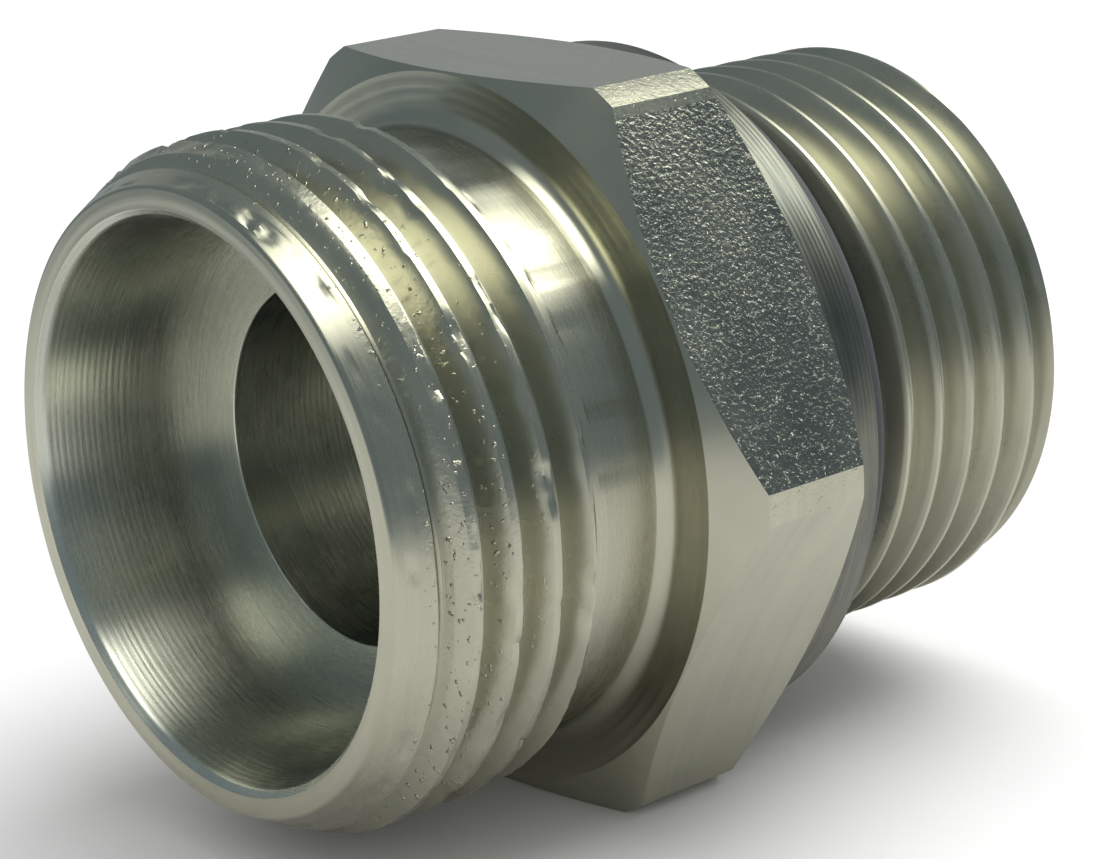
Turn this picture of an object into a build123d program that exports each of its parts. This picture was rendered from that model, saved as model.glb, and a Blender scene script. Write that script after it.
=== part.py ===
from build123d import *

import os
from math import cos, radians, tan

# Male stud coupling for a 22 mm tube. One turned steel body and one elastomer seal ring.
# X runs along the bore. The origin is on the axis, in the plane of the collar's seat.
# The tube end points to -X and the stud to +X. The coupling lies on a flat of its hexagon.

# Tube end: a 24 degree cone and a socket for the tube, inside a thread for the nut.
tube_d = 22.0
socket_clearance = 0.1
socket_length = 2.3
cone_length = 5.2
cone_angle = 24.0
mouth_bevel = 0.3
end_face_width = 1.2
lead_in_height = 1.6
lead_in_angle = 30.0
tube_thread_length = 8.9

# Neck between the tube thread and the hexagon.
neck_depth = 1.45
neck_length = 5.1
neck_fillet = 0.9
thread_flank_angle = 30.0

# Hexagon, turned down at its corners and chamfered at both ends.
across_flats = 32.0
hexagon_width = 8.0
corner_trim = 0.375
corner_chamfer_angle = 30.0
front_face_inset = 0.1
rear_face_inset = 0.25

# Stud: thread at its crest diameter, undercut behind it, and tip.
stud_thread_d = 26.8
stud_length = 15.0
undercut_depth = 1.45
undercut_clearance = 0.05
tip_height = 1.1
tip_angle = 45.0

# Collar behind the hexagon, with the recess that holds the seal ring.
collar_width = 2.0
collar_edge = 0.15
rim_width = 1.0
recess_width = 2.8
recess_depth = 0.9

# Seal ring in the recess: its rim stands proud of the collar, and its foot fills the undercut.
seal_clearance = 0.05
seal_proud = 1.6
seal_bevel = 0.4
seal_foot_length = 0.35
seal_foot_drop = 0.3

# Bore through the body.
bore_d = 16.0
bore_bevel = 0.4

# Diameters that follow from the sizes above.
socket_d = tube_d + socket_clearance
cone_mouth_d = socket_d + 2 * cone_length * tan(radians(cone_angle / 2))
end_face_d = cone_mouth_d + 2 * end_face_width
tube_thread_d = end_face_d + 2 * lead_in_height
neck_d = tube_thread_d - 2 * neck_depth
across_corners = across_flats / cos(radians(30)) - 2 * corner_trim
front_face_d = across_flats - 2 * front_face_inset
rear_face_d = across_flats - 2 * rear_face_inset
undercut_d = stud_thread_d - 2 * undercut_depth
stud_tip_d = stud_thread_d - 2 * tip_height
recess_d = undercut_d + 2 * recess_width
collar_d = recess_d + 2 * rim_width

# Stations along X that follow from the sizes above.
collar_x = -collar_width
hexagon_x = collar_x - hexagon_width
thread_end_x = hexagon_x - neck_length
neck_x = thread_end_x + neck_depth * tan(radians(thread_flank_angle))
tube_face_x = thread_end_x - tube_thread_length
lead_in_x = tube_face_x + lead_in_height / tan(radians(lead_in_angle))
cone_end_x = tube_face_x + cone_length
stop_x = cone_end_x + socket_length
seal_foot_x = seal_proud + seal_foot_length
undercut_x = seal_foot_x + undercut_clearance
stud_thread_x = undercut_x + undercut_depth
tip_x = stud_length - tip_height / tan(radians(tip_angle))


def chamfer_run(outer_d, inner_d):
    """Length along X of the hexagon's corner chamfer between two diameters."""
    return (outer_d - inner_d) / 2 * tan(radians(corner_chamfer_angle))


def ring_edges(part, x, diameter):
    """The part's circular edges of one diameter at one station along X."""
    circles = part.edges().filter_by(GeomType.CIRCLE)
    return circles.filter_by(
        lambda edge: abs(edge.arc_center.X - x) < 1e-4 and abs(edge.radius - diameter / 2) < 1e-4
    )


# Body: one length of hexagon bar, turned from both ends and bored through.
with BuildPart() as coupling_body:
    # Hexagon bar from its front face to the collar, standing on one flat.
    with BuildSketch(Plane.YZ.offset(hexagon_x)):
        RegularPolygon(radius=across_flats / 2, side_count=6, major_radius=False)
    extrude(amount=hexagon_width)

    # Corners turned to one diameter, with a chamfer at each end.
    with BuildSketch(Plane.XZ):
        with BuildLine():
            Polyline(
                (hexagon_x, 0),
                (hexagon_x, front_face_d / 2),
                (hexagon_x + chamfer_run(across_corners, front_face_d), across_corners / 2),
                (collar_x - chamfer_run(across_corners, rear_face_d), across_corners / 2),
                (collar_x, rear_face_d / 2),
                (collar_x, 0),
                close=True,
            )
        make_face()
    revolve(axis=Axis.X, mode=Mode.INTERSECT)

    # Tube end: end face, lead-in, thread at its crest diameter, and neck with its fillet.
    with BuildSketch(Plane.XZ):
        with BuildLine():
            fillet_start = (hexagon_x - neck_fillet, neck_d / 2)
            fillet_end = (hexagon_x, neck_d / 2 + neck_fillet)
            Polyline(
                (tube_face_x, 0),
                (tube_face_x, end_face_d / 2),
                (lead_in_x, tube_thread_d / 2),
                (thread_end_x, tube_thread_d / 2),
                (neck_x, neck_d / 2),
                fillet_start,
            )
            TangentArc(fillet_start, fillet_end, tangent=(1, 0))
            Polyline(fillet_end, (hexagon_x, 0), (tube_face_x, 0))
        make_face()
    revolve(axis=Axis.X)

    # Collar and stud: seat, recess, undercut, thread at its crest diameter, and tip.
    with BuildSketch(Plane.XZ):
        with BuildLine():
            Polyline(
                (collar_x, 0),
                (collar_x, collar_d / 2),
                (0, collar_d / 2),
                (0, recess_d / 2),
                (-recess_depth, recess_d / 2),
                (-recess_depth, undercut_d / 2),
                (undercut_x, undercut_d / 2),
                (stud_thread_x, stud_thread_d / 2),
                (tip_x, stud_thread_d / 2),
                (stud_length, stud_tip_d / 2),
                (stud_length, 0),
                close=True,
            )
        make_face()
    revolve(axis=Axis.X)
    chamfer(ring_edges(coupling_body.part, 0, collar_d), length=collar_edge)

    # Bore: cone, socket for the tube, stop shoulder and flow bore.
    with BuildSketch(Plane.XZ):
        with BuildLine():
            Polyline(
                (tube_face_x, 0),
                (tube_face_x, cone_mouth_d / 2),
                (cone_end_x, socket_d / 2),
                (stop_x, socket_d / 2),
                (stop_x, bore_d / 2),
                (stud_length, bore_d / 2),
                (stud_length, 0),
                close=True,
            )
        make_face()
    revolve(axis=Axis.X, mode=Mode.SUBTRACT)
    chamfer(ring_edges(coupling_body.part, tube_face_x, cone_mouth_d), length=mouth_bevel)
    chamfer(ring_edges(coupling_body.part, stud_length, bore_d), length=bore_bevel)

coupling_body.part.label = "coupling_body"


# Seal ring: seated on the recess floor and round the undercut.
with BuildPart() as seal_ring:
    with BuildSketch(Plane.XZ):
        seal_inner = undercut_d / 2 + seal_clearance
        seal_outer = recess_d / 2 - seal_clearance
        seal_foot = stud_thread_d / 2 - seal_foot_drop
        with BuildLine():
            Polyline(
                (-recess_depth, seal_inner),
                (-recess_depth, seal_outer),
                (seal_proud - seal_bevel, seal_outer),
                (seal_proud, seal_outer - seal_bevel),
                (seal_proud, seal_foot),
                (seal_foot_x, seal_foot),
                (seal_foot_x, seal_inner),
                close=True,
            )
        make_face()
    revolve(axis=Axis.X)

seal_ring.part.label = "seal_ring"


os.makedirs("parts", exist_ok=True)
export_step(coupling_body.part, "parts/coupling_body.step")
export_step(seal_ring.part, "parts/seal_ring.step")
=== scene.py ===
"""Looks of a male stud coupling: a turned, zinc plated body with two cut threads, and its seal ring.

X runs along the bore, the collar's seat is at X = 0 and Z is up. Lengths are in metres, and the
sizes of the pieces are written in millimetres times MM. Angles round the bore start at +Y and grow
towards +Z, so 180 degrees faces the camera's side.
"""

import logging
import math
from collections.abc import Callable
from dataclasses import dataclass, field
from enum import Enum
from functools import partial

import bmesh
import bpy
from mathutils import Matrix, Vector


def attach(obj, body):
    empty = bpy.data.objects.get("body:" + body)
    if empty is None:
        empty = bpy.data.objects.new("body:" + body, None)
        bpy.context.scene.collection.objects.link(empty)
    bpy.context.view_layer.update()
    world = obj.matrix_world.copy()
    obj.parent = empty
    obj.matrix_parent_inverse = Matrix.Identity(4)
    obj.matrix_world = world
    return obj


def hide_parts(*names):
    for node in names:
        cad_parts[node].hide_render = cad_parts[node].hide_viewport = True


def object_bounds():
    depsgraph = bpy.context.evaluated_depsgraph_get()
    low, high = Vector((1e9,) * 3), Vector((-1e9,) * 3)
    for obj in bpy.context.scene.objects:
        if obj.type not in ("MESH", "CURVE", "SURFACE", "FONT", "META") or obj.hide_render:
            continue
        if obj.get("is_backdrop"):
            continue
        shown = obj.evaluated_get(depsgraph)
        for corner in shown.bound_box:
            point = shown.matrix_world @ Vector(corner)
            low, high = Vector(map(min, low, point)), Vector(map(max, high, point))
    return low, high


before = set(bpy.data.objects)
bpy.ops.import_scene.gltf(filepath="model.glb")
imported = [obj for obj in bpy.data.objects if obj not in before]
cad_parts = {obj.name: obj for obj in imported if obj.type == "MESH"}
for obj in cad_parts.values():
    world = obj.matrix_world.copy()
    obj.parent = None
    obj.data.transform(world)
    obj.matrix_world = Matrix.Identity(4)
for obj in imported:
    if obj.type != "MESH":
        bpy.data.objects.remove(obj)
CAD_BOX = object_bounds()

MM = 0.001
TURN = 2 * math.pi
SAME_SPOT = 0.0001 * MM
LOG = logging.getLogger("coupling")


class Finish(Enum):
    """How a stretch of the body was made. The value is its material slot on the mesh."""

    TURNED = 0
    THREAD = 1
    GRAINED = 2
    DRAWN = 3
    # Bored faces. Their steel is painted paler and bluer, as the light that reaches inside the bore.
    BORED_PAINTED_LIGHT = 4
    STREAKED = 5
    TORN = 6


@dataclass(frozen=True)
class Tone:
    """A colour as linear red, green and blue."""

    red: float
    green: float
    blue: float

    def rgba(self) -> tuple[float, float, float, float]:
        """The colour with full opacity."""
        return (self.red, self.green, self.blue, 1.0)


class Field:
    """A number inside a node tree, on which ordinary arithmetic adds nodes."""

    def __init__(self, tree: bpy.types.NodeTree, source: bpy.types.NodeSocket | float) -> None:
        """Wraps a socket or a plain number.

        Args:
            tree: The node tree that new nodes go into.
            source: An output socket, or a number.
        """
        self.tree = tree
        self.source = source

    def apply(self, operation: str, *others: "Field | float") -> "Field":
        """Adds one maths node.

        Args:
            operation: The node's operation, such as "MULTIPLY".
            others: The second and third operands.

        Returns:
            The node's result.
        """
        node = self.tree.nodes.new("ShaderNodeMath")
        node.operation = operation
        for socket, value in zip(node.inputs, (self, *others)):
            feed(self.tree, socket, value)
        return Field(self.tree, node.outputs[0])

    def __add__(self, other: "Field | float") -> "Field":
        """The sum."""
        return self.apply("ADD", other)

    def __sub__(self, other: "Field | float") -> "Field":
        """The difference."""
        return self.apply("SUBTRACT", other)

    def __mul__(self, other: "Field | float") -> "Field":
        """The product."""
        return self.apply("MULTIPLY", other)

    def __truediv__(self, other: "Field | float") -> "Field":
        """The quotient."""
        return self.apply("DIVIDE", other)


def add_object(name: str, data: bpy.types.ID) -> bpy.types.Object:
    """Puts a mesh, light or camera into the scene.

    Args:
        name: The new object's name.
        data: What it shows.

    Returns:
        The new object.
    """
    thing = bpy.data.objects.new(name, data)
    bpy.context.scene.collection.objects.link(thing)
    return thing


def feed(tree: bpy.types.NodeTree, socket: bpy.types.NodeSocket, value: object) -> None:
    """Links or sets one input socket.

    Args:
        tree: The node tree that holds the socket.
        socket: The input socket.
        value: A Field, an output socket, or a plain value.
    """
    if isinstance(value, Field):
        value = value.source
    if isinstance(value, bpy.types.NodeSocket):
        tree.links.new(value, socket)
    else:
        socket.default_value = value


@dataclass(frozen=True)
class Columns:
    """The angles of the mesh's columns round the bore, with one on every edge of the hexagon."""

    across_flats: float = 32.0 * MM
    across_corners: float = 36.2 * MM
    on_flat: int = 37
    on_corner: int = 3
    first_flat: float = math.radians(-30)
    flats: int = 6

    def half_flat(self) -> float:
        """Half of the angle that one flat takes up."""
        return math.acos(self.across_flats / self.across_corners)

    def angles(self) -> list[float]:
        """One turn of angles, from the first flat's lower edge."""
        sector = TURN / self.flats
        half = self.half_flat()
        out = []
        for flat in range(self.flats):
            middle = self.first_flat + sector * flat
            out += [middle - half + 2 * half * k / self.on_flat for k in range(self.on_flat)]
            gap = sector - 2 * half
            out += [middle + half + gap * k / self.on_corner for k in range(self.on_corner)]
        return out

    def hexagon_radius(self, angle: float) -> float:
        """The hexagon's radius at an angle, with its corners turned down."""
        sector = TURN / self.flats
        from_middle = (angle - self.first_flat + sector / 2) % sector - sector / 2
        return min(self.across_flats / 2 / math.cos(from_middle), self.across_corners / 2)


@dataclass(frozen=True)
class Corner:
    """One corner of a turned profile."""

    x: float
    radius: float
    rounding: float = 0.0


@dataclass(frozen=True)
class Thread:
    """One cut thread. Its crest's middle crosses the angle zero at crest_station."""

    name: str
    zone: int
    crest_radius: float
    depth: float
    crest_width: float
    crest_station: float
    first: float
    last: float
    crest_rounding: float
    burr: float
    seed: int
    pitch: float = 2.0 * MM
    root_rounding: float = 0.30 * MM
    flank_slope: float = 1 / math.tan(math.radians(30))
    flank_rows: tuple[float, ...] = (0.4, 0.6)
    row_digits: int = 5

    def row_fractions(self, first_angle: float) -> list[float]:
        """Where the rows of one turn lie, as shares of the pitch after the thread's first station.

        Args:
            first_angle: The angle of the mesh's first column.

        Returns:
            Shares of the pitch, from 0 up.
        """
        half = self.crest_width / 2
        foot = half + self.depth / self.flank_slope
        edge, bend = self.crest_rounding, self.root_rounding
        spots = [half - edge, half, half + edge, foot - bend, foot - bend / 2, foot, foot + bend / 2]
        spots += [half + (foot - half) * share for share in self.flank_rows]
        distances = spots + [-spot for spot in spots] + [0.0, self.pitch / 2]
        start = self.first - self.crest_station - self.pitch * first_angle / TURN
        shares = sorted({round((d - start) / self.pitch % 1.0, self.row_digits) for d in distances})
        return [share - shares[0] for share in shares]


class RingMesh:
    """A closed skin built of rings round the bore, each bridged to the last."""

    def __init__(self, columns: Columns) -> None:
        """Starts an empty skin.

        Args:
            columns: The angles that every ring uses.
        """
        self.angles = columns.angles()
        self.stations: list[float] = []
        self.turns: list[float] = []
        self.radii: list[float] = []
        self.zones: list[int] = []
        self.faces: list[tuple[int, ...]] = []
        self.finishes: list[Finish] = []
        self.first: list[int] = []
        self.last: list[int] = []

    def point(self, x: float, angle: float, radius: float, zone: int = 0) -> int:
        """Adds a point and returns its number."""
        self.stations.append(x)
        self.turns.append(angle)
        self.radii.append(radius)
        self.zones.append(zone)
        return len(self.stations) - 1

    def bridge(self, row: list[int], finish: Finish | Callable[[float], Finish]) -> None:
        """Joins a row to the last one with faces, and makes it the last.

        Args:
            row: Point numbers, one for each column and one more that closes the turn.
            finish: The finish of the new faces, or what gives it at an angle.
        """
        before = zip(self.last, self.last[1:])
        after = zip(row, row[1:])
        for (a, b), (c, d), angle in zip(before, after, self.angles):
            face = tuple(dict.fromkeys((a, b, d, c)))
            if len(face) > 2:
                self.faces.append(face)
                self.finishes.append(finish if isinstance(finish, Finish) else finish(angle))
        self.last = row

    def ring(
        self,
        shape: Callable[[float], tuple[float, float]],
        finish: Finish | Callable[[float], Finish],
    ) -> None:
        """Adds one ring.

        Args:
            shape: Gives the station and the radius at an angle.
            finish: The finish of the faces that lead to it, or what gives it at an angle.
        """
        row = []
        for angle in self.angles:
            x, radius = shape(angle)
            row.append(self.point(x, angle, radius))
        row.append(row[0])
        if self.last:
            self.bridge(row, finish)
        else:
            self.first = self.last = row

    def circle(self, x: float, radius: float, finish: Finish) -> None:
        """Adds a plain ring at one station and radius."""
        self.ring(lambda angle: (x, radius), finish)

    def profile(self, corners: list[Corner], finish: Finish) -> None:
        """Adds the rings of a turned profile, with its corners rounded.

        Args:
            corners: The profile's corners. The ends aren't rounded.
            finish: The finish of the faces between them.
        """
        for k in range(len(corners)):
            for x, radius in rounded(corners, k):
                self.circle(x, radius, finish)

    def close(self, finish: Finish) -> None:
        """Joins the last ring to the first."""
        self.bridge(self.first, finish)

    def thread(self, thread: Thread, blank: list[Corner]) -> None:
        """Adds a stretch whose rows follow a helix, so that they lie along the thread's edges.

        The rows leave the last ring in a wedge that opens over one turn, follow the helix, and
        end in a wedge that closes on a ring again.

        Args:
            thread: The thread's sizes.
            blank: The turned profile before the thread is cut.
        """
        shares = thread.row_fractions(self.angles[0])
        per_turn = len(shares)
        helical = int(((thread.last - thread.first) / thread.pitch - 1) * per_turn)
        swing = [(angle - self.angles[0]) / TURN for angle in self.angles]

        def station(row: int) -> float:
            """Where a row of the helix starts."""
            return thread.first + thread.pitch * (row // per_turn + shares[row % per_turn])

        def point(x: float, column: int) -> int:
            """A point of the blank at a station and column."""
            return self.point(x, self.angles[column], blank_radius(blank, x), thread.zone)

        def lay(x: float, reach: float, first: int, last: int) -> None:
            """Lays a row between two points of the first column, moving along by its reach."""
            middle = [point(x + reach * swing[column], column) for column in range(1, len(swing))]
            self.bridge([first, *middle, last], Finish.THREAD)

        end = station(helical + per_turn)
        starts = [point(station(row), 0) for row in range(helical + per_turn + 1)]
        for row in range(per_turn):
            lay(thread.first, thread.pitch * shares[row], starts[0], starts[row])
        for row in range(helical + 1):
            lay(station(row), thread.pitch, starts[row], starts[row + per_turn])
        for row in range(helical + 1, helical + per_turn + 1):
            lay(station(row), end - station(row), starts[row], starts[-1])

    def mesh(self, name: str) -> bpy.types.Mesh:
        """Makes the mesh, with the attributes that the thread cutter reads.

        Args:
            name: The mesh's name.

        Returns:
            The new mesh.
        """
        mesh = bpy.data.meshes.new(name)
        points = [
            (x, r * math.cos(angle), r * math.sin(angle))
            for x, angle, r in zip(self.stations, self.turns, self.radii)
        ]
        mesh.from_pydata(points, [], self.faces)
        for title, values in (("station", self.stations), ("angle", self.turns), ("blank", self.radii)):
            mesh.attributes.new(title, "FLOAT", "POINT").data.foreach_set("value", values)
        mesh.attributes.new("zone", "INT", "POINT").data.foreach_set("value", self.zones)
        mesh.polygons.foreach_set("material_index", [finish.value for finish in self.finishes])
        return mesh


def rounded(corners: list[Corner], index: int, steps: int = 3) -> list[tuple[float, float]]:
    """The points that round one corner of a profile.

    Args:
        corners: The profile's corners.
        index: Which corner.
        steps: How many pieces the rounding has.

    Returns:
        Stations and radii, in order. A sharp corner gives itself.
    """
    corner = corners[index]
    here = Vector((corner.x, corner.radius))
    if corner.rounding == 0 or index in (0, len(corners) - 1):
        return [tuple(here)]
    before, after = corners[index - 1], corners[index + 1]
    back = (Vector((before.x, before.radius)) - here).normalized() * corner.rounding
    ahead = (Vector((after.x, after.radius)) - here).normalized() * corner.rounding
    out = []
    for k in range(steps + 1):
        t = k / steps
        out.append(tuple(here + back * (1 - t) ** 2 + ahead * t**2))
    return out


def blank_radius(blank: list[Corner], x: float) -> float:
    """The radius of a turned profile at a station.

    Args:
        blank: The profile's corners, in order of station.
        x: The station.

    Returns:
        The radius there.
    """
    for a, b in zip(blank, blank[1:]):
        if x <= b.x and b.x > a.x:
            share = max(0.0, (x - a.x) / (b.x - a.x))
            return a.radius + (b.radius - a.radius) * share
    return blank[-1].radius


THREAD_SIZES = {
    "Pitch": "pitch",
    "Crest Radius": "crest_radius",
    "Depth": "depth",
    "Crest Width": "crest_width",
    "Crest Station": "crest_station",
    "Flank Slope": "flank_slope",
    "Crest Rounding": "crest_rounding",
    "Root Rounding": "root_rounding",
    "Burr": "burr",
}


@dataclass(frozen=True)
class ThreadCutter:
    """The node tree that cuts a helical thread into a turned blank, with nicks in its crests."""

    name: str = "thread_cutter"
    nick_grain: float = 900.0
    nick_detail: float = 3.0
    nick_level: float = 0.47
    nick_gain: float = 8.0
    nick_reach: float = 0.35

    def build(self) -> bpy.types.NodeTree:
        """Makes the tree, with one named input for each size.

        Returns:
            The geometry node tree.
        """
        tree = bpy.data.node_groups.new(self.name, "GeometryNodeTree")
        sides = tree.interface
        sides.new_socket("Geometry", in_out="INPUT", socket_type="NodeSocketGeometry")
        for title in THREAD_SIZES:
            sides.new_socket(title, in_out="INPUT", socket_type="NodeSocketFloat")
        sides.new_socket("Zone", in_out="INPUT", socket_type="NodeSocketInt")
        sides.new_socket("Seed", in_out="INPUT", socket_type="NodeSocketInt")
        sides.new_socket("Material", in_out="INPUT", socket_type="NodeSocketMaterial")
        sides.new_socket("Geometry", in_out="OUTPUT", socket_type="NodeSocketGeometry")
        inputs = tree.nodes.new("NodeGroupInput").outputs
        given = {title: Field(tree, inputs[title]) for title in list(inputs.keys()) if title}
        station, angle, blank = (
            self.attribute(tree, title, "FLOAT") for title in ("station", "angle", "blank")
        )
        in_zone = self.same(tree, self.attribute(tree, "zone", "INT"), given["Zone"])

        turns = (station - given["Crest Station"]) / given["Pitch"] - angle / TURN
        from_crest = ((turns + 0.5).apply("FRACT") - 0.5).apply("ABSOLUTE") * given["Pitch"]
        fall = (from_crest - given["Crest Width"] / 2.0) * given["Flank Slope"]
        fall = fall.apply("SMOOTH_MAX", 0.0, given["Crest Rounding"])
        fall = fall.apply("SMOOTH_MIN", given["Depth"], given["Root Rounding"])

        noise = tree.nodes.new("ShaderNodeTexNoise")
        noise.noise_dimensions = "4D"
        place = tree.nodes.new("GeometryNodeInputPosition").outputs[0]
        feed(tree, noise.inputs["Vector"], place)
        feed(tree, noise.inputs["W"], given["Seed"])
        feed(tree, noise.inputs["Scale"], self.nick_grain)
        feed(tree, noise.inputs["Detail"], self.nick_detail)
        below = (Field(tree, noise.outputs[0]) - self.nick_level).apply("MINIMUM", 0.0)
        nicks = below * given["Burr"] * self.nick_gain
        reach = given["Depth"] * self.nick_reach
        at_crest = (reach - fall).apply("MAXIMUM", 0.0) / reach

        radius = (given["Crest Radius"] - fall).apply("MINIMUM", blank) + nicks * at_crest
        join = tree.nodes.new("ShaderNodeCombineXYZ")
        feed(tree, join.inputs[0], station)
        feed(tree, join.inputs[1], radius * angle.apply("COSINE"))
        feed(tree, join.inputs[2], radius * angle.apply("SINE"))

        move = tree.nodes.new("GeometryNodeSetPosition")
        feed(tree, move.inputs["Geometry"], inputs["Geometry"])
        feed(tree, move.inputs["Selection"], in_zone)
        feed(tree, move.inputs["Position"], join.outputs[0])
        real = tree.nodes.new("GeometryNodeRealizeInstances")
        feed(tree, real.inputs["Geometry"], move.outputs[0])
        paint = tree.nodes.new("GeometryNodeSetMaterial")
        feed(tree, paint.inputs["Geometry"], real.outputs[0])
        feed(tree, paint.inputs["Selection"], in_zone)
        feed(tree, paint.inputs["Material"], inputs["Material"])
        feed(tree, tree.nodes.new("NodeGroupOutput").inputs["Geometry"], paint.outputs[0])
        return tree

    @staticmethod
    def attribute(tree: bpy.types.NodeTree, title: str, kind: str) -> Field:
        """Reads a named attribute of the mesh's points."""
        node = tree.nodes.new("GeometryNodeInputNamedAttribute")
        node.data_type = kind
        node.inputs["Name"].default_value = title
        return Field(tree, node.outputs["Attribute"])

    @staticmethod
    def same(tree: bpy.types.NodeTree, a: Field, b: Field) -> Field:
        """True where two whole numbers are equal."""
        node = tree.nodes.new("FunctionNodeCompare")
        node.data_type, node.operation = "INT", "EQUAL"
        numbers = [socket for socket in node.inputs if socket.type == "INT"]
        feed(tree, numbers[0], a)
        feed(tree, numbers[1], b)
        return Field(tree, node.outputs[0])

    def cut(self, piece: bpy.types.Object, thread: Thread, material: bpy.types.Material) -> None:
        """Cuts one thread into a piece and keeps the result as its plain mesh.

        Args:
            piece: The turned blank.
            thread: The thread's sizes.
            material: The finish of the threaded faces.
        """
        tree = bpy.data.node_groups.get(self.name) or self.build()
        modifier = piece.modifiers.new(thread.name, "NODES")
        modifier.node_group = tree
        values = {title: getattr(thread, size) for title, size in THREAD_SIZES.items()}
        values |= {"Zone": thread.zone, "Seed": thread.seed, "Material": material}
        for item in tree.interface.items_tree:
            if item.in_out == "INPUT" and item.name in values:
                modifier[item.identifier] = values[item.name]
        view = bpy.context.evaluated_depsgraph_get()
        made = bpy.data.meshes.new_from_object(piece.evaluated_get(view))
        piece.modifiers.remove(modifier)
        piece.data = made


class Shader:
    """One material and its principled shader, with short ways to add nodes to it."""

    def __init__(self, name: str) -> None:
        """Makes an empty material.

        Args:
            name: The material's name.
        """
        self.material = bpy.data.materials.new(name)
        self.material.use_nodes = True
        self.tree = self.material.node_tree
        self.surface = self.tree.nodes["Principled BSDF"]

    def node(self, kind: str, **inputs: object) -> bpy.types.Node:
        """Adds a node and fills its inputs, whose names have underscores for spaces."""
        node = self.tree.nodes.new(kind)
        for title, value in inputs.items():
            feed(self.tree, node.inputs[title.replace("_", " ")], value)
        return node

    def set(self, title: str, value: object) -> None:
        """Fills one input of the principled shader."""
        feed(self.tree, self.surface.inputs[title], value)

    def place(self) -> bpy.types.NodeSocket:
        """The point's place in the object's own coordinates."""
        return self.tree.nodes.new("ShaderNodeTexCoord").outputs["Object"]

    def parts(self, vector: bpy.types.NodeSocket) -> list[Field]:
        """The three numbers of a vector."""
        node = self.node("ShaderNodeSeparateXYZ", Vector=vector)
        return [Field(self.tree, socket) for socket in node.outputs]

    def vector(self, x: object, y: object, z: object) -> bpy.types.NodeSocket:
        """A vector of three numbers."""
        node = self.tree.nodes.new("ShaderNodeCombineXYZ")
        for socket, value in zip(node.inputs, (x, y, z)):
            feed(self.tree, socket, value)
        return node.outputs[0]

    def noise(self, vector: object, scale: float, detail: float = 2.0, rough: float = 0.5) -> Field:
        """A noise from 0 to 1."""
        node = self.node("ShaderNodeTexNoise", Vector=vector, Scale=scale, Detail=detail)
        node.inputs["Roughness"].default_value = rough
        return Field(self.tree, node.outputs[0])

    def spread(self, value: Field, low: float, high: float, to_low: float, to_high: float) -> Field:
        """Maps a number from one range to another, and stops at its ends."""
        node = self.node("ShaderNodeMapRange", Value=value)
        limits = {"From Min": low, "From Max": high, "To Min": to_low, "To Max": to_high}
        for title, number in limits.items():
            node.inputs[title].default_value = number
        return Field(self.tree, node.outputs[0])

    def rise(self, value: Field, low: float, high: float) -> Field:
        """Goes from 0 to 1 between two limits."""
        return self.spread(value, low, high, 0, 1)

    def fall(self, value: Field, low: float, high: float) -> Field:
        """Goes from 1 to 0 between two limits."""
        return self.spread(value, low, high, 1, 0)

    def blend(self, share: object, a: object, b: object) -> bpy.types.NodeSocket:
        """Mixes two colours."""
        node = self.tree.nodes.new("ShaderNodeMix")
        node.data_type = "RGBA"
        feed(self.tree, node.inputs["Factor"], share)
        colours = [socket for socket in node.inputs if socket.type == "RGBA"]
        feed(self.tree, colours[0], a)
        feed(self.tree, colours[1], b)
        return next(socket for socket in node.outputs if socket.type == "RGBA")

    def bump(self, height: Field, depth: float, normal: object = None) -> bpy.types.NodeSocket:
        """Turns a height into a surface normal, with a depth in metres."""
        node = self.node("ShaderNodeBump", Height=height, Distance=depth)
        node.inputs["Strength"].default_value = 1.0
        if normal is not None:
            feed(self.tree, node.inputs["Normal"], normal)
        return node.outputs[0]


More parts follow.
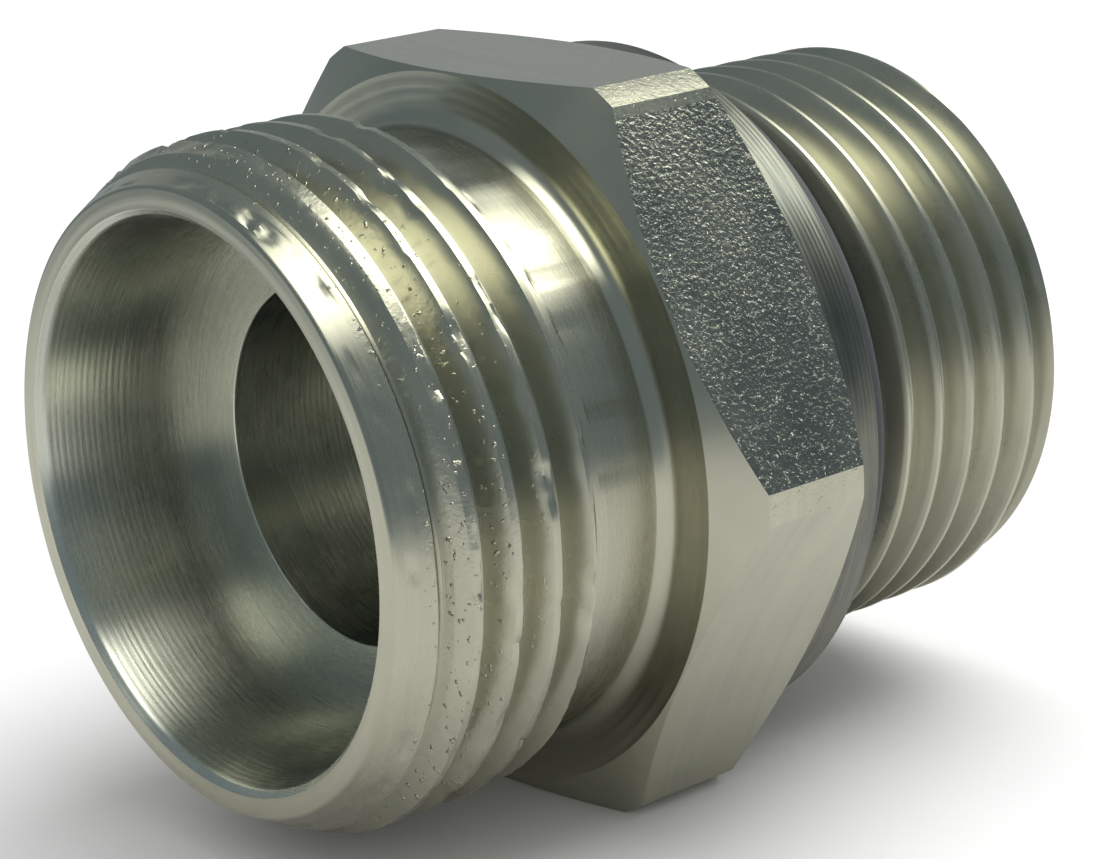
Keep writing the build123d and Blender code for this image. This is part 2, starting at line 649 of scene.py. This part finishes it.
@dataclass(frozen=True)
class PlatedSteel:
    """Zinc plated steel, marked by the tool in rings round the bore.

    The feed is the tool's travel in one turn. Marks are the finer scratches, and rings are the
    slow changes from one stretch to the next. Grain and specks are the rough skin of the bar or
    of a torn crest. The painted shade zone is the groove at the seal ring, coloured dark as the
    shade that falls there. A zone's limits are pairs: stations or radii where it starts to fade
    in or out, and where that fade ends.
    """

    name: str
    light: Tone = Tone(0.44, 0.43, 0.335)
    dark: Tone = Tone(0.37, 0.37, 0.295)
    roughness: float = 0.22
    rough_spread: float = 0.08
    stretch: float = 0.75
    stretch_turn: float = 0.25
    face_slope: float = 0.6
    cloud_scale: float = 220.0
    cloud_detail: float = 4.0
    noise_rough: float = 0.6
    noise_low: float = 0.35
    noise_high: float = 0.65
    feed: float = 0.32 * MM
    feed_depth: float = 0.006 * MM
    feed_wander: float = 0.8
    ring_feeds: float = 1.4
    ring_length: float = 25.0
    ring_share: float = 0.4
    mark_pitch: float = 0.07 * MM
    mark_depth: float = 0.0024 * MM
    mark_length: float = 60.0
    mark_detail: float = 3.0
    grain_size: float = 0.22 * MM
    grain_depth: float = 0.0
    grain_detail: float = 3.0
    grain_rough: float = 0.55
    speck_size: float = 0.20 * MM
    speck_depth: float = 0.05 * MM
    speck_limits: tuple[float, float] = (0.66, 0.76)
    rough_end: tuple[float, float] = (0.9, 1.0)
    rough_inner: tuple[float, float] = (-1.0 * MM, 0.0)
    # Painted shade: the groove between the collar's seat and the stud's first turn is coloured dark as
    # the shade that falls in it.
    painted_shade_tone: Tone = Tone(0.05, 0.056, 0.058)
    painted_shade_start: tuple[float, float] = (-1.3 * MM, -1.0 * MM)
    painted_shade_end: tuple[float, float] = (3.4 * MM, 3.7 * MM)
    painted_shade_inner: tuple[float, float] = (11.0 * MM, 11.2 * MM)
    painted_shade_outer: tuple[float, float] = (14.8 * MM, 14.9 * MM)

    def build(self) -> bpy.types.Material:
        """Makes the material.

        Returns:
            The new material.
        """
        shader = Shader(self.name)
        place = shader.place()
        x, y, z = shader.parts(place)
        radius = (y * y + z * z).apply("SQRT")
        turned = (x - radius * self.face_slope, y, z)
        cloud = shader.noise(place, self.cloud_scale, self.cloud_detail, self.noise_rough)
        marks_place = self.ringed(shader, turned, self.mark_pitch, self.mark_length)
        marks = shader.noise(marks_place, 1.0, self.mark_detail, self.noise_rough)
        rings_place = self.ringed(shader, turned, self.feed * self.ring_feeds, self.ring_length)
        rings = shader.noise(rings_place, 1.0)
        normal = None
        if self.feed_depth:
            wave = ((turned[0] / self.feed + rings * self.feed_wander) * TURN).apply("SINE")
            normal = shader.bump(wave * rings, self.feed_depth)
        normal = shader.bump(marks, self.mark_depth, normal)
        if self.grain_depth:
            rough = shader.fall(x, *self.rough_end) * shader.rise(radius, *self.rough_inner)
            normal = self.grain(shader, place, rough, normal)
        shader.set("Normal", normal)
        shade = cloud * (1 - self.ring_share) + rings * self.ring_share
        shade = shader.rise(shade, self.noise_low, self.noise_high)
        colour = shader.blend(shade, self.dark.rgba(), self.light.rgba())
        # Painted shade: a dark colour over the groove at the seal ring, where shade falls between the
        # collar and the stud.
        painted_shade = shader.rise(x, *self.painted_shade_start) * shader.fall(x, *self.painted_shade_end)
        painted_shade *= shader.rise(radius, *self.painted_shade_inner) * shader.fall(radius, *self.painted_shade_outer)
        shader.set("Base Color", shader.blend(painted_shade, colour, self.painted_shade_tone.rgba()))
        low, high = self.roughness - self.rough_spread / 2, self.roughness + self.rough_spread / 2
        worn = (marks + cloud) * 0.5
        shader.set("Roughness", shader.spread(worn, self.noise_low, self.noise_high, low, high))
        shader.set("Metallic", 1.0)
        if self.stretch:
            shader.set("Anisotropic", self.stretch)
            shader.set("Anisotropic Rotation", self.stretch_turn)
            shader.set("Tangent", shader.vector(0.0, z * -1.0, y))
        return shader.material

    def grain(
        self, shader: Shader, place: bpy.types.NodeSocket, rough: Field, normal: bpy.types.NodeSocket
    ) -> bpy.types.NodeSocket:
        """Adds the rough skin.

        Args:
            shader: The finish's shader.
            place: The point's place.
            rough: How rough the skin is there, from 0 to 1.
            normal: The surface normal so far.

        Returns:
            The surface normal with grain and specks.
        """
        grain = shader.noise(place, 1 / self.grain_size, self.grain_detail, self.grain_rough)
        normal = shader.bump(grain * rough, self.grain_depth, normal)
        specks = shader.rise(shader.noise(place, 1 / self.speck_size, 1.0), *self.speck_limits)
        return shader.bump(specks * rough, self.speck_depth, normal)

    @staticmethod
    def ringed(
        shader: Shader, turned: tuple[Field, Field, Field], pitch: float, length: float
    ) -> bpy.types.NodeSocket:
        """A place in which noise makes rings round the bore, each many pitches long."""
        along, y, z = turned
        return shader.vector(along / pitch, y / (length * pitch), z / (length * pitch))


@dataclass(frozen=True)
class SealRubber:
    """Matt black elastomer with a faint moulded grain."""

    name: str = "seal_rubber"
    light: Tone = Tone(0.045, 0.052, 0.054)
    dark: Tone = Tone(0.024, 0.028, 0.030)
    smoothest: float = 0.47
    roughest: float = 0.63
    cloud_scale: float = 300.0
    cloud_detail: float = 3.0
    cloud_limits: tuple[float, float] = (0.3, 0.7)
    grain_scale: float = 4000.0
    grain_depth: float = 0.01 * MM

    def build(self) -> bpy.types.Material:
        """Makes the material.

        Returns:
            The new material.
        """
        shader = Shader(self.name)
        place = shader.place()
        cloud = shader.noise(place, self.cloud_scale, self.cloud_detail)
        shader.set("Base Color", shader.blend(cloud, self.dark.rgba(), self.light.rgba()))
        shader.set("Roughness", shader.spread(cloud, *self.cloud_limits, self.smoothest, self.roughest))
        shader.set("Normal", shader.bump(shader.noise(place, self.grain_scale), self.grain_depth))
        return shader.material


def finish_mesh(mesh: bpy.types.Mesh, sharp_angle: float) -> None:
    """Joins points that lie in one spot, turns the faces outwards and sets the shading.

    Args:
        mesh: The closed mesh.
        sharp_angle: Edges that turn by more than this stay sharp.
    """
    faces = bmesh.new()
    faces.from_mesh(mesh)
    bmesh.ops.remove_doubles(faces, verts=faces.verts, dist=SAME_SPOT)
    bmesh.ops.recalc_face_normals(faces, faces=faces.faces)
    faces.to_mesh(mesh)
    faces.free()
    mesh.shade_smooth()
    mesh.set_sharp_from_angle(angle=sharp_angle)


@dataclass(frozen=True)
class CouplingBody:
    """The turned body: tube end, neck, hexagon, collar, stud and bore."""

    columns: Columns = field(default_factory=Columns)
    tube_face: float = -24.0 * MM
    end_face_radius: float = 13.355 * MM
    mouth_radius: float = 12.155 * MM
    mouth_bevel: float = 0.3 * MM
    lead_in_end: float = -21.229 * MM
    tube_thread_radius: float = 14.955 * MM
    tube_thread_end: float = -15.1 * MM
    neck: float = -14.263 * MM
    neck_radius: float = 13.505 * MM
    neck_fillet: float = 0.9 * MM
    hexagon_front: float = -10.0 * MM
    front_radius: float = 15.9 * MM
    hexagon_rear: float = -2.0 * MM
    rear_radius: float = 15.75 * MM
    chamfer_slope: float = math.tan(math.radians(30))
    recess_radius: float = 14.75 * MM
    recess_depth: float = 0.9 * MM
    undercut_radius: float = 11.95 * MM
    undercut_end: float = 2.0 * MM
    stud_thread_start: float = 3.45 * MM
    stud_thread_radius: float = 13.4 * MM
    stud_tip: float = 13.9 * MM
    stud_end: float = 15.0 * MM
    tip_radius: float = 12.3 * MM
    bore_radius: float = 8.0 * MM
    bore_bevel: float = 0.4 * MM
    cone_end: float = -18.8 * MM
    stop: float = -16.5 * MM
    socket_radius: float = 11.05 * MM
    edge: float = 0.12 * MM
    sharp_angle: float = math.radians(24)
    fillet_rows: int = 6
    flat_rows: int = 12
    inside_flat: float = 0.999

    def tube_thread(self) -> Thread:
        """The tube end's thread, torn a little at its crests."""
        return Thread(
            name="tube_thread",
            zone=1,
            crest_radius=self.tube_thread_radius,
            depth=1.15 * MM,
            crest_width=0.36 * MM,
            crest_station=-26.12 * MM,
            first=-23.8 * MM,
            last=-13.6 * MM,
            crest_rounding=0.05 * MM,
            burr=0.13 * MM,
            seed=3,
        )

    def stud_thread(self) -> Thread:
        """The stud's thread, with rounded crests."""
        return Thread(
            name="stud_thread",
            zone=2,
            crest_radius=self.stud_thread_radius,
            depth=1.10 * MM,
            crest_width=0.30 * MM,
            crest_station=3.45 * MM,
            first=2.2 * MM,
            last=14.9 * MM,
            crest_rounding=0.25 * MM,
            burr=0.0,
            seed=8,
        )

    def skin(self) -> RingMesh:
        """Builds the whole skin before the threads are cut.

        Returns:
            The closed skin.
        """
        skin = RingMesh(self.columns)
        bevel = self.mouth_bevel
        rim = (self.end_face_radius + self.mouth_radius + bevel) / 2
        thread = self.tube_thread()
        tube_blank = [
            Corner(self.tube_face, self.end_face_radius),
            Corner(self.lead_in_end, self.tube_thread_radius),
            Corner(self.tube_thread_end, self.tube_thread_radius),
            Corner(self.neck, self.neck_radius),
            Corner(self.hexagon_front, self.neck_radius),
        ]
        skin.profile(
            [
                Corner(self.tube_face, rim),
                Corner(self.tube_face, self.end_face_radius, self.edge),
                Corner(thread.first, blank_radius(tube_blank, thread.first)),
            ],
            Finish.TURNED,
        )
        skin.thread(thread, tube_blank)
        self.neck_and_hexagon(skin)
        self.collar_and_stud(skin)
        skin.profile(
            [
                Corner(self.stud_end, self.bore_radius + self.bore_bevel),
                Corner(self.stud_end - self.bore_bevel, self.bore_radius),
                Corner(self.stop, self.bore_radius, self.edge),
                Corner(self.stop, self.socket_radius),
            ],
            Finish.BORED_PAINTED_LIGHT,
        )
        skin.profile(
            [
                Corner(self.cone_end, self.socket_radius),
                Corner(self.tube_face + bevel, self.mouth_radius, self.edge),
                Corner(self.tube_face, self.mouth_radius + bevel),
            ],
            Finish.BORED_PAINTED_LIGHT,
        )
        skin.close(Finish.TURNED)
        return skin

    def neck_and_hexagon(self, skin: RingMesh) -> None:
        """Adds the neck's fillet, the hexagon's front face and its flats with their chamfers."""
        for k in range(self.fillet_rows + 1):
            t = TURN / 4 * k / self.fillet_rows
            x = self.hexagon_front - self.neck_fillet * (1 - math.sin(t))
            skin.circle(x, self.neck_radius + self.neck_fillet * (1 - math.cos(t)), Finish.TURNED)
        skin.circle(self.hexagon_front, self.front_radius, Finish.TURNED)
        skin.ring(partial(self.side_point, 0.0), Finish.TURNED)
        for k in range(1, self.flat_rows + 1):
            skin.ring(partial(self.side_point, k / self.flat_rows), self.flat_finish)
        skin.circle(self.hexagon_rear, self.rear_radius, Finish.TURNED)

    def side_point(self, share: float, angle: float) -> tuple[float, float]:
        """A point on the hexagon's side.

        Args:
            share: How far it is from the front chamfer, at 0, to the rear chamfer, at 1.
            angle: Its angle round the bore.

        Returns:
            The station and the radius.
        """
        radius = self.columns.hexagon_radius(angle)
        start = self.hexagon_front + (radius - self.front_radius) * self.chamfer_slope
        stop = self.hexagon_rear - (radius - self.rear_radius) * self.chamfer_slope
        return start + (stop - start) * share, radius

    def flat_finish(self, angle: float) -> Finish:
        """The finish at an angle: grained on every second flat, drawn on the others and the corners."""
        sector = TURN / self.columns.flats
        turned = angle - self.columns.first_flat + sector / 2
        off_middle = abs(turned % sector - sector / 2)
        on_flat = off_middle < self.columns.half_flat() * self.inside_flat
        return Finish.GRAINED if on_flat and int(turned // sector) % 2 == 1 else Finish.DRAWN

    def collar_and_stud(self, skin: RingMesh) -> None:
        """Adds the collar, its recess, the undercut, the stud's thread and its end."""
        thread = self.stud_thread()
        stud_blank = [
            Corner(self.undercut_end, self.undercut_radius),
            Corner(self.stud_thread_start, self.stud_thread_radius),
            Corner(self.stud_tip, self.stud_thread_radius),
            Corner(self.stud_end, self.tip_radius),
        ]
        skin.profile(
            [
                Corner(self.hexagon_rear + self.edge, self.rear_radius),
                Corner(0.0, self.rear_radius, self.edge),
                Corner(0.0, self.recess_radius),
                Corner(-self.recess_depth, self.recess_radius),
                Corner(-self.recess_depth, self.undercut_radius),
                Corner(self.undercut_end, self.undercut_radius),
            ],
            Finish.STREAKED,
        )
        skin.thread(thread, stud_blank)
        skin.profile(
            [
                Corner(self.stud_end, self.tip_radius),
                Corner(self.stud_end, self.bore_radius + self.bore_bevel),
            ],
            Finish.TURNED,
        )

    @staticmethod
    def finishes() -> dict[Finish, PlatedSteel]:
        """The steel's look for each finish.

        Returns:
            One look for each finish.
        """
        return {
            Finish.TURNED: PlatedSteel("turned_steel"),
            Finish.THREAD: PlatedSteel("threaded_steel", feed_depth=0.0, stretch=0.3, roughness=0.29),
            Finish.GRAINED: PlatedSteel(
                "grained_flat",
                light=Tone(0.31, 0.31, 0.255),
                dark=Tone(0.20, 0.21, 0.18),
                mark_depth=0.0005 * MM,
                feed_depth=0.0,
                stretch=0.0,
                roughness=0.17,
                grain_depth=0.05 * MM,
            ),
            Finish.DRAWN: PlatedSteel(
                "drawn_flat",
                mark_depth=0.0005 * MM,
                feed_depth=0.0,
                stretch=0.0,
                grain_depth=0.012 * MM,
                speck_depth=0.008 * MM,
            ),
            # Painted light: the bored steel is paler and bluer than the turned steel, standing in for
            # light inside the bore.
            Finish.BORED_PAINTED_LIGHT: PlatedSteel(
                "bored_steel_painted_light",
                light=Tone(0.54, 0.545, 0.465),
                dark=Tone(0.46, 0.475, 0.41),
                roughness=0.27,
                feed_depth=0.003 * MM,
                mark_depth=0.0022 * MM,
            ),
            Finish.STREAKED: PlatedSteel(
                "streaked_steel",
                light=Tone(0.22, 0.215, 0.175),
                dark=Tone(0.11, 0.12, 0.105),
                roughness=0.36,
                rough_spread=0.2,
                feed=0.25 * MM,
                feed_depth=0.012 * MM,
            ),
            Finish.TORN: PlatedSteel(
                "torn_thread",
                feed_depth=0.0,
                stretch=0.3,
                roughness=0.27,
                grain_size=0.35 * MM,
                grain_depth=0.02 * MM,
                speck_size=0.3 * MM,
                speck_depth=0.05 * MM,
                rough_end=(-21.0 * MM, -17.0 * MM),
                rough_inner=(13.9 * MM, 14.2 * MM),
            ),
        }

    def build(self) -> bpy.types.Object:
        """Builds, threads and dresses the body.

        Returns:
            The body's object.
        """
        materials = {finish: steel.build() for finish, steel in self.finishes().items()}
        mesh = self.skin().mesh("coupling_body_looks")
        for finish in Finish:
            mesh.materials.append(materials[finish])
        body = add_object("coupling_body_looks", mesh)
        cutter = ThreadCutter()
        cutter.cut(body, self.tube_thread(), materials[Finish.TORN])
        cutter.cut(body, self.stud_thread(), materials[Finish.THREAD])
        finish_mesh(body.data, self.sharp_angle)
        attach(body, "root")
        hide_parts("coupling_body")
        return body


@dataclass(frozen=True)
class SealRing:
    """The seal ring, seated in the collar's recess."""

    columns: int = 120
    inner: float = 12.0 * MM
    outer: float = 14.7 * MM
    floor: float = -0.9 * MM
    proud: float = 1.6 * MM
    bevel: float = 0.45 * MM
    foot_radius: float = 13.1 * MM
    foot_end: float = 1.95 * MM
    edge: float = 0.1 * MM
    rounding_steps: int = 5
    sharp_angle: float = math.radians(30)

    def build(self) -> bpy.types.Object:
        """Builds and dresses the ring.

        Returns:
            The ring's object.
        """
        corners = [
            Corner(self.floor, self.inner),
            Corner(self.floor, self.outer, self.edge),
            Corner(self.proud, self.outer, self.bevel),
            Corner(self.proud, self.foot_radius, self.edge),
            Corner(self.foot_end, self.foot_radius, self.edge),
            Corner(self.foot_end, self.inner),
        ]
        rows = []
        for k in range(len(corners)):
            rows += rounded(corners, k, self.rounding_steps)
        points, faces = [], []
        for x, radius in rows:
            for column in range(self.columns):
                angle = TURN * column / self.columns
                points.append((x, radius * math.cos(angle), radius * math.sin(angle)))
        for row in range(len(rows)):
            for column in range(self.columns):
                a, b = row * self.columns, (row + 1) % len(rows) * self.columns
                c = (column + 1) % self.columns
                faces.append((a + column, a + c, b + c, b + column))
        mesh = bpy.data.meshes.new("seal_ring_looks")
        mesh.from_pydata(points, [], faces)
        ring = add_object("seal_ring_looks", mesh)
        mesh.materials.append(SealRubber().build())
        finish_mesh(mesh, self.sharp_angle)
        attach(ring, "root")
        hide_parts("seal_ring")
        return ring


@dataclass(frozen=True)
class Panel:
    """One bright strip of the tent, along the bore.

    It lies between two angles round the bore, in degrees, and fades out beyond them. Along the
    bore it lies between two values of the direction's X.
    """

    start: float
    stop: float
    fade_in: float
    fade_out: float
    low: float
    high: float
    tone: Tone
    end_fade: float = 0.3

    def glow(self, shader: Shader, along: Field, turn: Field) -> Field:
        """How strong the panel is, from 0 to 1.

        Args:
            shader: The tent's shader.
            along: The direction's X.
            turn: The direction's angle round the bore, in radians.

        Returns:
            The panel's share of the tent's colour.
        """
        start, stop = math.radians(self.start), math.radians(self.stop)
        begun = shader.rise(turn, start - math.radians(self.fade_in), start)
        ended = shader.fall(turn, stop, stop + math.radians(self.fade_out))
        near = shader.rise(along, self.low - self.end_fade, self.low)
        far = shader.fall(along, self.high, self.high + self.end_fade)
        return begun * ended * near * far


@dataclass(frozen=True)
class Studio:
    """The pale floor, the soft light, the dark tent that the metal reflects, and the camera."""

    floor_size: float = 6.0
    floor_tone: Tone = Tone(0.86, 0.86, 0.86)
    floor_roughness: float = 0.9
    floor_shine: float = 0.2
    floor_glow: Tone = Tone(1.0, 1.0, 1.0)
    tent_radius: float = 2.0
    tent_sides: int = 96
    dark: Tone = Tone(0.22, 0.27, 0.31)
    panels: tuple[Panel, ...] = (
        Panel(-5.0, 30.0, 20.0, 25.0, 0.2, 0.9, Tone(0.38, 0.41, 0.42)),
        Panel(94.0, 110.0, 22.0, 14.0, -0.3, 0.9, Tone(5.6, 5.6, 5.2)),
    )
    sheet_inner: float = 80 * MM
    sheet_outer: float = 200 * MM
    sheet_lift: float = 0.2 * MM
    key_place: tuple[float, float, float] = (0.20, -0.03, 0.48)
    key_size: float = 0.50
    key_power: float = 2.7
    ambient: float = 0.6
    camera_place: tuple[float, float, float] = (-88.63 * MM, -101.64 * MM, 39.02 * MM)
    camera_aim: tuple[float, float, float] = (-4.88 * MM, -0.41 * MM, -1.04 * MM)
    camera_roll: float = math.radians(2.83)
    focal_length: float = 98.9
    sensor: float = 36.0
    nearest: float = 1 * MM
    farthest: float = 10.0

    def build(self, lowest: float) -> None:
        """Sets up everything that isn't part of the object.

        Args:
            lowest: The height of the floor.
        """
        self.floor(lowest)
        self.tent()
        self.sheet(lowest)
        self.lamp()
        self.world()
        self.camera()
        bpy.context.scene.view_settings.view_transform = "Standard"

    def floor(self, height: float) -> None:
        """Lays the pale floor."""
        half = self.floor_size / 2
        corners = [(-half, -half), (half, -half), (half, half), (-half, half)]
        mesh = bpy.data.meshes.new("floor")
        mesh.from_pydata([(x, y, height) for x, y in corners], [], [(0, 1, 2, 3)])
        floor = add_object("floor", mesh)
        shader = Shader("pale_floor")
        shader.set("Base Color", self.floor_tone.rgba())
        shader.set("Roughness", self.floor_roughness)
        shader.set("Specular IOR Level", self.floor_shine)
        mesh.materials.append(shader.material)
        floor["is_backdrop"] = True

    def tent(self) -> None:
        """Sets a dark tent with bright panels round the object, which only its reflections show."""
        mesh = bpy.data.meshes.new("tent")
        ball = bmesh.new()
        sides = self.tent_sides
        bmesh.ops.create_uvsphere(ball, u_segments=sides, v_segments=sides // 2, radius=self.tent_radius)
        ball.to_mesh(mesh)
        ball.free()
        tent = add_object("tent", mesh)
        shader = Shader("dark_cloth")
        place = shader.node("ShaderNodeVectorMath")
        place.operation = "NORMALIZE"
        feed(shader.tree, place.inputs[0], shader.place())
        x, y, z = shader.parts(place.outputs[0])
        turn = z.apply("ARCTAN2", y)
        colour = self.dark.rgba()
        for panel in self.panels:
            colour = shader.blend(panel.glow(shader, x, turn), colour, panel.tone.rgba())
        self.reflected_only(tent, shader, colour)

    def sheet(self, height: float) -> None:
        """Lays a cloth round the lit part of the floor, which only reflections show."""
        mesh = bpy.data.meshes.new("sheet")
        ring = bmesh.new()
        for radius in (self.sheet_inner, self.tent_radius):
            bmesh.ops.create_circle(ring, segments=self.tent_sides, radius=radius)
        bmesh.ops.bridge_loops(ring, edges=ring.edges[:])
        ring.transform(Matrix.Translation((0, 0, height + self.sheet_lift)))
        ring.to_mesh(mesh)
        ring.free()
        sheet = add_object("sheet", mesh)
        shader = Shader("fading_cloth")
        x, y, _ = shader.parts(shader.place())
        radius = (x * x + y * y).apply("SQRT")
        share = shader.rise(radius, self.sheet_inner, self.sheet_outer)
        self.reflected_only(sheet, shader, shader.blend(share, self.floor_glow.rgba(), self.dark.rgba()))

    @staticmethod
    def reflected_only(card: bpy.types.Object, shader: Shader, colour: object) -> None:
        """Makes a card that glows in reflections and is seen and lit by nothing else.

        Args:
            card: The card's object.
            shader: Its shader.
            colour: Its light.
        """
        shader.set("Base Color", (0, 0, 0, 1))
        shader.set("Emission Color", colour)
        shader.set("Emission Strength", 1.0)
        card.data.materials.append(shader.material)
        card.visible_camera = False
        card.visible_diffuse = False
        card.visible_shadow = False
        card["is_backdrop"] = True

    def lamp(self) -> None:
        """Hangs the soft lamp, which the tent stands in for in reflections."""
        light = bpy.data.lights.new("key", "AREA")
        light.size = self.key_size
        light.energy = self.key_power
        lamp = add_object("key", light)
        lamp.location = self.key_place
        lamp.rotation_euler = (-Vector(self.key_place)).to_track_quat("-Z", "Y").to_euler()
        lamp.visible_glossy = False

    def world(self) -> None:
        """Lights the scene softly all round, on a white background."""
        world = bpy.data.worlds.new("studio")
        world.use_nodes = True
        bpy.context.scene.world = world
        tree = world.node_tree
        back = tree.nodes["Background"]
        path = tree.nodes.new("ShaderNodeLightPath")
        seen = Field(tree, path.outputs["Is Camera Ray"])
        for ray in ("Is Glossy Ray", "Is Transmission Ray"):
            seen = seen.apply("MAXIMUM", Field(tree, path.outputs[ray]))
        back.inputs["Color"].default_value = (1.0, 1.0, 1.0, 1.0)
        feed(tree, back.inputs["Strength"], seen * (1 - self.ambient) + self.ambient)

    def camera(self) -> None:
        """Sets the camera at the photograph's angle."""
        data = bpy.data.cameras.new("camera")
        data.lens = self.focal_length
        data.sensor_width = self.sensor
        data.clip_start = self.nearest
        data.clip_end = self.farthest
        camera = add_object("camera", data)
        aim = Vector(self.camera_aim) - Vector(self.camera_place)
        turn = aim.to_track_quat("-Z", "Y").to_matrix()
        roll = Matrix.Rotation(-self.camera_roll, 3, "Z")
        camera.matrix_world = Matrix.Translation(self.camera_place) @ (turn @ roll).to_4x4()
        bpy.context.scene.camera = camera


def main() -> None:
    """Builds the pieces and the studio."""
    logging.basicConfig(level=logging.INFO, format="%(message)s")
    for builder in (CouplingBody(), SealRing()):
        piece = builder.build()
        LOG.info("built %s with %d faces", piece.name, len(piece.data.polygons))
    Studio().build(CAD_BOX[0].z)
    boxes = {"cad": CAD_BOX, "visual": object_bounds()}
    {name: [list(corner) for corner in box] for name, box in boxes.items()}


if __name__ == "__main__":
    main()
